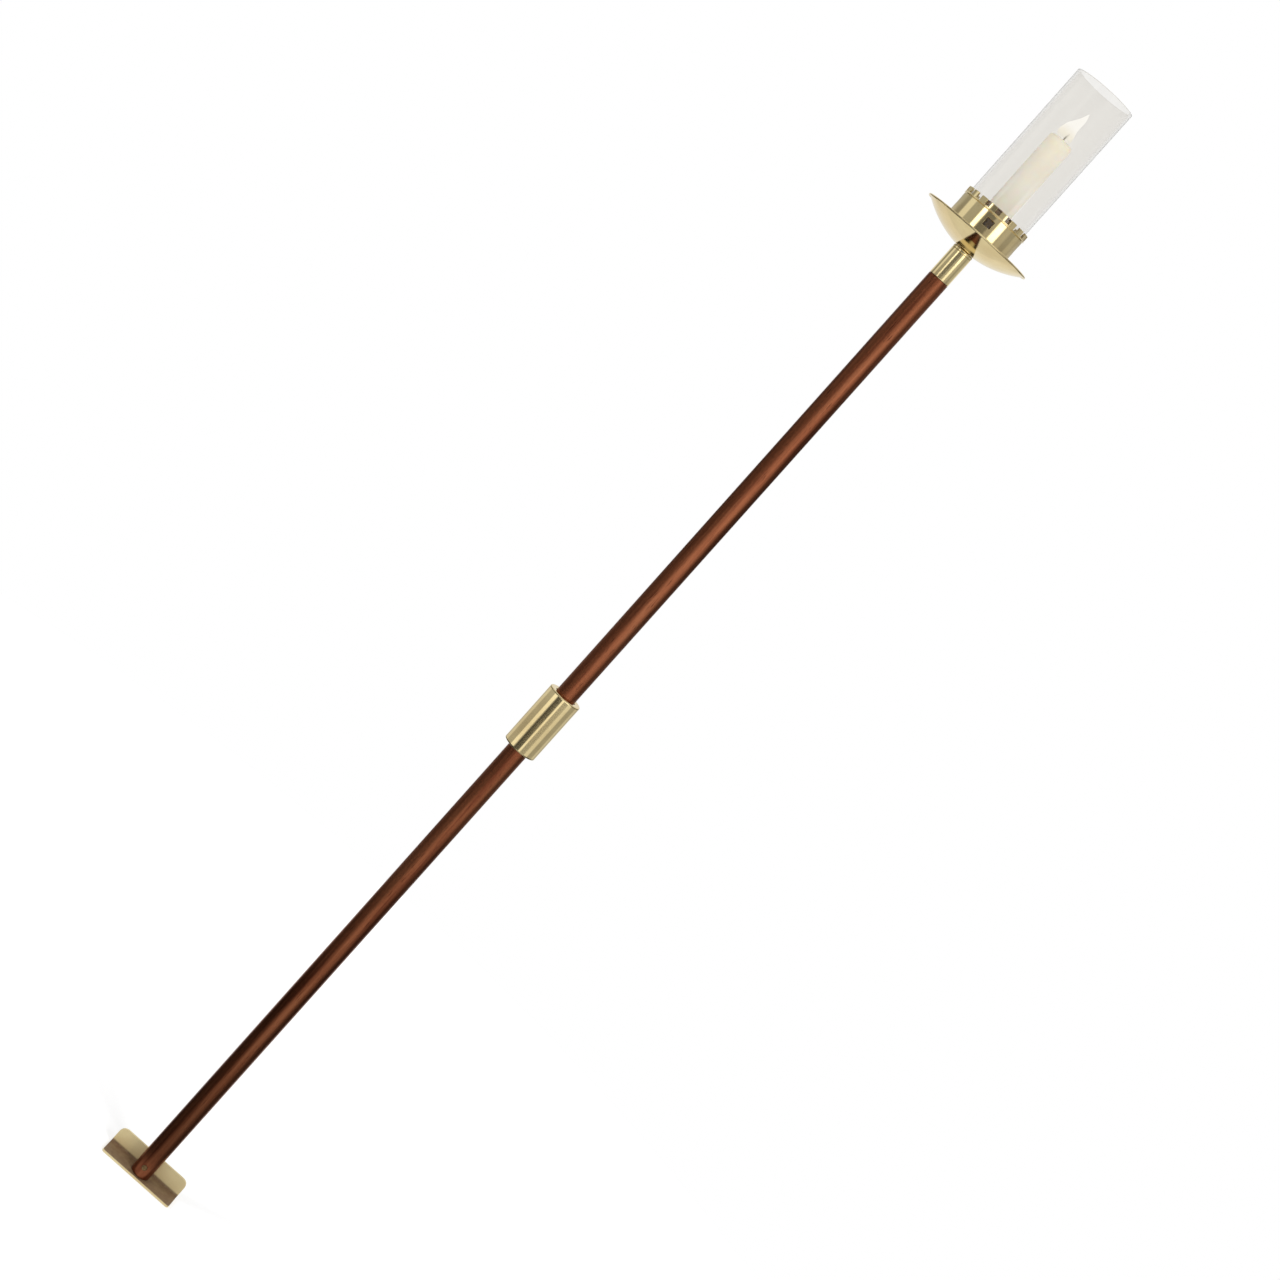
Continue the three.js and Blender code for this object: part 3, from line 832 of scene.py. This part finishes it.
# height above the wax, radius and lean of the flame, in mm
flameShape = {
    "rings": [(-1.5, 6.5, 0), (2.5, 9.0, -0.9), (7.0, 9.6, -1.8), (12.0, 8.7, -1.9), (17.5, 7.4, -1.7),
              (23.0, 5.6, 0.2), (28.5, 3.8, 2.0), (34.0, 2.1, 2.8), (38.8, 0.0, 3.1)],
    "steps": 5,
    "facets": 40,
}


def through(points, steps):
    # a smooth line through the points
    line = []
    count = len(points)
    for index in range(count - 1):
        a, b, c, d = (Vector(points[min(max(index + k, 0), count - 1)]) for k in (-1, 0, 1, 2))
        for step in range(steps):
            t = step / steps
            line.append(0.5 * (2 * b + (c - a) * t + (2 * a - 5 * b + 4 * c - d) * t ** 2
                               + (3 * b - a - 3 * c + d) * t ** 3))
    return line + [Vector(points[-1])]


def makeFlame():
    # a slim pale flame round the wick that leans in the draught
    line = through(flameShape["rings"], flameShape["steps"])
    outline = [(max(0, p.y) * mm, waxTop + p.x * mm, p.z * mm) for p in line]
    build = turn(outline, flameShape["facets"], False)
    finishes["flame"] = flameFinish(waxTop + line[0].x * mm, waxTop + line[-1].x * mm)
    finishMesh(build, "flame", "flame", "candle", [], 80)


glassShape = {"wall": 2.8 * mm, "rim": 1.3 * mm, "facets": 160}


def makeGlass():
    # open tube with fire-polished rims
    low, high = nodeBox("glass_cylinder")
    rim = glassShape["rim"]
    outer = high.x
    inner = outer - glassShape["wall"]
    profile = [(inner, low.z, rim), (outer, low.z, rim), (outer, high.z, rim), (inner, high.z, rim)]
    build = turn(softened(profile, True, 8), glassShape["facets"])
    finishMesh(build, "glassTube", "glass", "glass", ["glass_cylinder"], 60)


sleeveShape = {"boreGap": 0.8 * mm, "boreEdge": 1.4 * mm, "edge": 1.7 * mm, "facets": 160}


def makeSleeve():
    # thick ring with rounded ends, cut flat where it meets the pew end
    low, high = nodeBox("sleeve")
    edge, boreEdge = sleeveShape["edge"], sleeveShape["boreEdge"]
    outer = -low.y
    bore = nodeBox("lower_shaft")[1].x + sleeveShape["boreGap"]
    profile = [
        (bore, low.z, boreEdge), (outer, low.z, edge), (outer, high.z, edge), (bore, high.z, boreEdge),
    ]
    build = turn(softened(profile, True, 8), sleeveShape["facets"])
    everything = list(build.verts) + list(build.edges) + list(build.faces)
    cut = bmesh.ops.bisect_plane(
        build, geom=everything, plane_co=(0, high.y, 0), plane_no=(0, 1, 0), clear_outer=True)
    rim = [edge for edge in cut["geom_cut"] if isinstance(edge, bmesh.types.BMEdge)]
    bmesh.ops.edgenet_fill(build, edges=rim)
    finishMesh(build, "sleeveTurned", "brass", "pew_fittings", ["sleeve"])


bracketShape = {
    "thick": 3.2 * mm, "corner": 10 * mm, "shelfCorner": 4 * mm, "bend": 1.6 * mm,
    "outerBend": 3.4 * mm, "edge": 0.45 * mm, "pegHole": 5.35 * mm, "screwHole": 3.7 * mm,
    "shankHole": 1.9 * mm, "sink": 1.8 * mm, "drill": 12 * mm,
}


def roundedOutline(corners, rounding, steps):
    return softened([(x, y, r) for (x, y), r in zip(corners, rounding)], True, steps)


def screwDrill(name):
    # countersunk hole along the screw of that name
    low, high = nodeBox(name)
    middle = (low + high) / 2
    wide, shank, sink, reach = (bracketShape[key] for key in ("screwHole", "shankHole", "sink", "drill"))
    start = -2 * mm
    profile = [(0, start), (wide, start), (wide, 0), (shank, sink), (shank, reach), (0, reach)]
    build = turn(profile, 32, False)
    layAlongY(build, (middle.x, low.y, middle.z))
    return helper(build, "drillForm")


def makeBracket():
    # bent from one brass strip: plate and shelf share a rounded bend, corners rounded, edges softened
    low, high = nodeBox("foot_bracket")
    shape = bracketShape
    thick = shape["thick"]
    wide = high.x
    bent = softened([
        (low.y, low.z), (high.y, low.z, shape["outerBend"]), (high.y, high.z), (high.y - thick, high.z),
        (high.y - thick, low.z + thick, shape["bend"]), (low.y, low.z + thick),
    ], True, 8)
    strip = prism(bent, "X", -wide, wide)
    spare = 20 * mm
    plateOutline = roundedOutline(
        [(-wide, low.z - spare), (wide, low.z - spare), (wide, high.z), (-wide, high.z)],
        [0, 0, shape["corner"], shape["corner"]], 14)
    plate = prism(plateOutline, "Y", low.y - spare, high.y + spare)
    shelfOutline = roundedOutline(
        [(-wide, low.y), (wide, low.y), (wide, high.y + spare), (-wide, high.y + spare)],
        [shape["shelfCorner"], shape["shelfCorner"], 0, 0], 10)
    shelf = prism(shelfOutline, "Z", low.z - spare, high.z + spare)
    hole = shape["pegHole"]
    peg = turn([(0, -10 * mm), (hole, -10 * mm), (hole, 10 * mm), (0, 10 * mm)], 48, False)
    solved = combine(helper(strip, "stripForm"), [
        ("INTERSECT", helper(plate, "plateForm")), ("INTERSECT", helper(shelf, "shelfForm")),
        ("DIFFERENCE", helper(peg, "pegForm")),
        ("DIFFERENCE", screwDrill("foot_screw_left")), ("DIFFERENCE", screwDrill("foot_screw_right")),
    ])
    build = bmesh.new()
    build.from_mesh(solved)
    piece = finishMesh(build, "footBracketBent", "bracketBrass", "pew_fittings", ["foot_bracket"],
                       35)
    softEdges(piece, shape["edge"], 40)


boltShape = {
    "radius": 3 * mm, "pitch": 1.0 * mm, "depth": 0.32 * mm, "threaded": 24 * mm, "turnRings": 6,
    "facets": 36, "headTall": 4 * mm, "headCorner": 1.1547, "headEdge": 0.2 * mm, "crown": 1.02,
    "crownFacets": 64,
}
washerShape = {"hole": 3.2 * mm, "reach": 7 * mm, "holeEdge": 0.2 * mm, "edge": 0.3 * mm, "facets": 64}


def threadedShank(build, length):
    # a real helix on the front half, with a tapered lead at the tip
    shape = boltShape
    radius, pitch, threaded, facets = (shape[key] for key in ("radius", "pitch", "threaded", "facets"))
    steps = int(threaded / (pitch / shape["turnRings"]))
    levels = [threaded * step / steps for step in range(steps + 1)] + [length + 0.5 * mm]
    rings = []
    for place in levels:
        ring = []
        for corner in range(facets):
            share = corner / facets
            phase = (place / pitch - share) % 1
            groove = shape["depth"] * (1 - abs(2 * phase - 1)) if place < threaded - pitch else 0
            lead = min(1, place / (1.2 * pitch))
            girth = (radius - groove) * (0.82 + 0.18 * lead)
            angle = 2 * math.pi * share
            ring.append(build.verts.new((girth * math.cos(angle), girth * math.sin(angle), place)))
        rings.append(ring)
    joinRings(build, rings)


def makeBolt(level):
    # hexagon head with a turned-off crown on a threaded shank; returns the bolt's middle
    low, high = nodeBox("sleeve_bolt_" + level)
    centre = (low + high) / 2
    tip = (centre.x, low.y, centre.z)
    length = high.y - low.y - boltShape["headTall"]
    top = length + boltShape["headTall"]
    build = bmesh.new()
    threadedShank(build, length)
    layAlongY(build, tip)
    across = (high.x - low.x) / 2
    corner = across * boltShape["headCorner"]
    outline = [(0, length), (corner, length, boltShape["headEdge"]), (corner, top), (0, top)]
    head = turn(softened(outline, False), 6, False)
    layAlongY(head, tip)
    flat = across * boltShape["crown"]
    wide = 2 * across
    below = length - 1 * mm
    outline = [(0, below), (wide, below), (wide, top - (wide - flat) * 0.5), (flat, top), (0, top)]
    crown = turn(outline, boltShape["crownFacets"], False)
    layAlongY(crown, tip)
    build.from_mesh(combine(helper(head, "headForm"), [("INTERSECT", helper(crown, "crownForm"))]))
    finishMesh(build, "sleeveBolt" + level.capitalize(), "steel", "pew_fittings",
               ["sleeve_bolt_" + level], 30)
    return centre


def makeWasher(level, centre):
    low, high = nodeBox("sleeve_washer_" + level)
    hole, reach, holeEdge, edge = (washerShape[key] for key in ("hole", "reach", "holeEdge", "edge"))
    tall = high.y - low.y
    profile = [(hole, 0, holeEdge), (reach, 0, edge), (reach, tall, edge), (hole, tall, holeEdge)]
    build = turn(softened(profile), washerShape["facets"])
    layAlongY(build, (centre.x, low.y, centre.z))
    finishMesh(build, "washer" + level.capitalize(), "steel", "pew_fittings",
               ["sleeve_washer_" + level], 30)


def makeBolts():
    for level in ("upper", "lower"):
        makeWasher(level, makeBolt(level))


pegScrewShape = {
    "domeTall": 2.2 * mm, "shank": 1.5 * mm, "shankShort": 3 * mm, "slotHalf": 0.45 * mm,
    "slotDeep": 0.8 * mm, "facets": 48,
}


def makePegScrew():
    # domed and slotted head against the front of the shaft; its tarnished brass is darkened further as
    # painted shade
    low, high = nodeBox("peg_screw")
    shape = pegScrewShape
    centre = (low + high) / 2
    radius = high.x
    length = high.y - low.y
    tall, shank = shape["domeTall"], shape["shank"]
    profile = [(0, 0)]
    for degrees in range(10, 91, 10):
        angle = math.radians(degrees)
        profile.append((radius * math.sin(angle), tall * (1 - math.cos(angle))))
    profile += [(radius, tall), (shank, tall), (shank, length - shape["shankShort"]), (0, length)]
    build = turn(profile, shape["facets"], False)
    layAlongY(build, (centre.x, low.y, centre.z))
    slotHalf = shape["slotHalf"]
    slotLow, slotHigh = centre.z - radius * 1.2, centre.z + radius * 1.2
    outline = [(-slotHalf, slotLow), (slotHalf, slotLow), (slotHalf, slotHigh), (-slotHalf, slotHigh)]
    slot = prism(outline, "Y", low.y - 1 * mm, low.y + shape["slotDeep"])
    solved = combine(helper(build, "pegScrewForm"), [("DIFFERENCE", helper(slot, "slotForm"))])
    build = bmesh.new()
    build.from_mesh(solved)
    finishMesh(build, "pegScrewDomed", "tarnishedShadedBrass", "staff", ["peg_screw"], 30)


# nodes whose CAD shape is right keep it and get the finish of their slot
plainNodes = {
    "foot_screw_left": "brass", "foot_screw_right": "brass", "foot_peg": "brass", "ferrule_pin": "brass",
    "joint_insert": "tarnishedShadedBrass", "joint_stud": "steel", "centre_stud": "steel",
}


def dressFrameNodes():
    for node, finish in plainNodes.items():
        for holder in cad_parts[node].material_slots:
            holder.material = finishes[finish]


makeShafts()
makeFerrule()
makePan()
makeCollar()
makeGallery()
makeSocket()
print("staff pieces made")
makeCandle()
makeWick()
makeFlame()
makeGlass()
print("candle and glass made")
makeSleeve()
makeBracket()
makeBolts()
makePegScrew()
dressFrameNodes()
print("pew fittings made")


# the floor's size, place and tone, its glow to the camera, and how bright polished surfaces see it
ground = {
    "reach": 1.5,
    "level": -0.0006,
    "tone": 0.8,
    "glow": (0.46, 0.66),
    "glowReach": (0.3, 1.4),
    "back": 0.76,
    "front": 0.03,
    "frontGlow": (0.24, 0.48),
    "frontReach": (0.15, 0.7),
    "frontSide": (120, 145),
    "pastFoot": (0.05, 0.075),
}

# how bright the world is: softLight for soft light, the others as polished surfaces see them
studio = {
    "softLight": 0.48,
    "room": 0.42,
    "backdrop": 0.85,
    "ceiling": 0.7,
    "overFront": 0.7,
    "behindHead": 0.42,
    "brightCards": (0.9, 3.2),
    "overCards": (1.0, 0.25),
}

# where the studio's parts start and are full, as the upward share of a mirrored ray
upLimits = {
    "woodFoot": (-0.285, -0.19),
    "woodTop": (-0.06, 0.01),
    "sleeveMiddle": -0.2095,
    "besideSleeve": (0.028, 0.042),
    "headCards": (0.004, 0.018),
    "brightCards": (0.040, 0.050),
    "overCards": (0.067, 0.085),
    "overFront": (0.18, 0.3),
    "ceiling": (0.62, 0.78),
    "floor": (-0.56, -0.46),
    "behindHead": (0.045, 0.055),
    "overHead": (0.15, 0.18),
}

# the same in degrees round the staff, 0 at the camera side and 180 behind the pew end
sideLimits = {
    "front": (80, 100),
    "behindHead": (112, 126),
    "headBackdrop": (122, 138),
    "backdrop": (142, 165),
    "straightBehind": (158, 172),
}

# cards round the staff, as bearing from the camera side, half width, fade and level
sleeveCards = [
    (-84, 20, 10, 0.5), (-50, 9, 6, 1.15), (-15, 14, 5, 0.06), (10, 4, 4, 1.0),
    (30, 9, 6, 0.34), (62, 8, 10, 0.8), (97, 16, 10, 0.42), (125, 8, 8, 0.64), (-125, 12, 8, 0.75),
]
headCards = [
    (-110, 10, 6, 0.32), (-86, 9, 7, 0.8), (-62, 9, 6, 0.42), (-34, 4, 6, "card"), (-8, 12, 8, 0.18),
    (38, 8, 7, "card"), (66, 6, 8, 0.5), (88, 8, 10, 0.36), (110, 8, 8, 0.5),
]

# one broad light for the wood; foot and top are its shares at the ends of the staff
shaftLight = {"bearing": 22, "half": 10, "fade": 56, "dark": 0.01, "level": 2.3, "foot": 0.18, "top": 0.36}


def over(level, mask, tone):
    # lays tone over level where the mask is 1
    return mask * tone + level * (1 - mask)


def hang(bearing, room, cards, bright=1.0):
    # cards in an even room; one marked "card" is as bright as the given signal
    level = room
    for middle, half, fade, tone in cards:
        mask = (bearing - middle).size().fall(half, half + fade)
        level = over(level, mask, bright if tone == "card" else tone)
    return level


def bearingOf(graph, east, south):
    # degrees round the staff from the camera side, positive to the right
    return graph.add("ShaderNodeMath", {"operation": "ARCTAN2"}, {0: east, 1: south}) * (180 / math.pi)


def woodGlow(bearing):
    # 1 in the middle of the wood's light, falling to 0 at both sides
    half = shaftLight["half"]
    return (bearing - shaftLight["bearing"]).size().fall(half, half + shaftLight["fade"])


def makeWorld():
    # white to the camera and through the glass, plain grey for soft light; polished surfaces see a studio:
    # narrow cards level with the head and with the sleeve, one broad light for the wood, a pale backdrop
    world = bpy.data.worlds.new("studioWorld")
    bpy.context.scene.world = world
    graph = Graph(world)
    east, north, up = graph.split(graph.add("ShaderNodeTexCoord", output=0))
    bearing = bearingOf(graph, east, north * -1.0)
    aside = bearing.size()
    glow = woodGlow(bearing)
    full = shaftLight["level"]
    strength = up.rise(*upLimits["woodFoot"], shaftLight["foot"] * full, full)
    strength = strength * up.rise(*upLimits["woodTop"], 1.0, shaftLight["top"])
    level = shaftLight["dark"] + glow * strength
    beside = (up - upLimits["sleeveMiddle"]).size().fall(*upLimits["besideSleeve"])
    level = over(level, beside, hang(bearing, studio["room"], sleeveCards))
    bright = up.rise(*upLimits["brightCards"], *studio["brightCards"])
    bright = bright * up.rise(*upLimits["overCards"], *studio["overCards"])
    head = hang(bearing, studio["room"], headCards, bright)
    head = over(head, aside.rise(*sideLimits["headBackdrop"]), studio["backdrop"])
    level = over(level, up.rise(*upLimits["headCards"]), head)
    front = up.rise(*upLimits["overFront"]) * aside.fall(*sideLimits["front"])
    level = over(level, front, studio["overFront"] * (0.15 + glow * 0.85))
    level = over(level, up.rise(*upLimits["ceiling"]), studio["ceiling"])
    level = over(level, up.fall(*upLimits["floor"]), ground["back"])
    level = over(level, aside.rise(*sideLimits["backdrop"]), studio["backdrop"])
    shade = up.rise(*upLimits["behindHead"]) * up.fall(*upLimits["overHead"])
    shade = shade * aside.rise(*sideLimits["behindHead"]) * aside.fall(*sideLimits["straightBehind"])
    level = over(level, shade, studio["behindHead"])
    tint = graph.add("ShaderNodeCombineXYZ", None, {0: level, 1: level * 0.99, 2: level * 0.97})
    room = graph.add("ShaderNodeBackground", None, {"Color": tint})
    plain = graph.add("ShaderNodeBackground", None, {"Color": (1, 1, 1, 1), "Strength": studio["softLight"]})
    white = graph.add("ShaderNodeBackground", None, {"Color": (1, 1, 1, 1)})
    lit = graph.add("ShaderNodeMixShader", None, {0: graph.ray("glossy"), 1: plain, 2: room})
    seen = graph.ray("camera").most(graph.ray("transmission"))
    mixed = graph.add("ShaderNodeMixShader", None, {0: seen, 1: lit, 2: white})
    graph.add("ShaderNodeOutputWorld", None, {"Surface": mixed})


def makeFloor():
    # pale floor that looks white but keeps the shadow; polished metal sees its unlit front as dark
    build = bmesh.new()
    bmesh.ops.create_circle(build, cap_ends=True, segments=96, radius=ground["reach"])
    bmesh.ops.translate(build, verts=build.verts, vec=(0, 0, ground["level"]))
    floor = helper(build, "paleFloor")
    graph = Graph(bpy.data.materials.new("paleFloor"))
    tone = ground["tone"]
    matt = graph.add("ShaderNodeBsdfDiffuse", None, {"Color": (tone, tone, tone, 1)})
    point = graph.point()
    away = graph.add("ShaderNodeVectorMath", {"operation": "LENGTH"}, {0: point}, output=1)
    lift = away.rise(*ground["glowReach"], *ground["glow"])
    lift = graph.add("ShaderNodeCombineXYZ", None, {0: lift, 1: lift, 2: lift})
    glow = graph.add("ShaderNodeEmission", None, {"Color": lift})
    lit = graph.add("ShaderNodeAddShader", None, {0: matt, 1: glow})
    east, north = graph.split(point)[:2]
    south = north * -1.0
    bearing = bearingOf(graph, east, south)
    front = ground["front"] + woodGlow(bearing) * south.rise(*ground["frontReach"], *ground["frontGlow"])
    ahead = away.rise(*ground["pastFoot"]) * bearing.size().fall(*ground["frontSide"])
    level = over(ground["back"], ahead, front)
    tint = graph.add("ShaderNodeCombineXYZ", None, {0: level, 1: level, 2: level * 0.98})
    mirrored = graph.add("ShaderNodeEmission", None, {"Color": tint})
    mixed = graph.add("ShaderNodeMixShader", None, {0: graph.ray("camera"), 1: matt, 2: lit})
    mixed = graph.add("ShaderNodeMixShader", None, {0: graph.ray("glossy"), 1: mixed, 2: mirrored})
    graph.add("ShaderNodeOutputMaterial", None, {"Surface": mixed})
    floor.data.materials.append(graph.owner)


# soft boxes: where each stands as a bearing from the camera side, its height, size and power
lamps = {
    "keyBox": {"bearing": 40, "distance": 2.3, "level": 1.8, "size": (0.8, 1.2), "power": 28},
    "leftBox": {"bearing": -60, "distance": 2.4, "level": 1.7, "size": (0.6, 1.2), "power": 20},
}


def makeLamps():
    # polished surfaces and the glass show the studio's cards in the place of the lamps
    middle = Vector((0, 0, 1.1))
    for name, lamp in lamps.items():
        data = bpy.data.lights.new(name, "AREA")
        data.shape = "RECTANGLE"
        data.size, data.size_y = lamp["size"]
        data.energy = lamp["power"]
        made = bpy.data.objects.new(name, data)
        bpy.context.scene.collection.objects.link(made)
        angle = math.radians(lamp["bearing"])
        distance = lamp["distance"]
        made.location = (distance * math.sin(angle), -distance * math.cos(angle), lamp["level"])
        aim = middle - made.location
        made.rotation_mode = "QUATERNION"
        made.rotation_quaternion = aim.to_track_quat("-Z", "Y")
        made.visible_glossy = False
        made.visible_transmission = False


makeWorld()
makeFloor()
makeLamps()
print("studio lit")

bpy.context.view_layer.update()
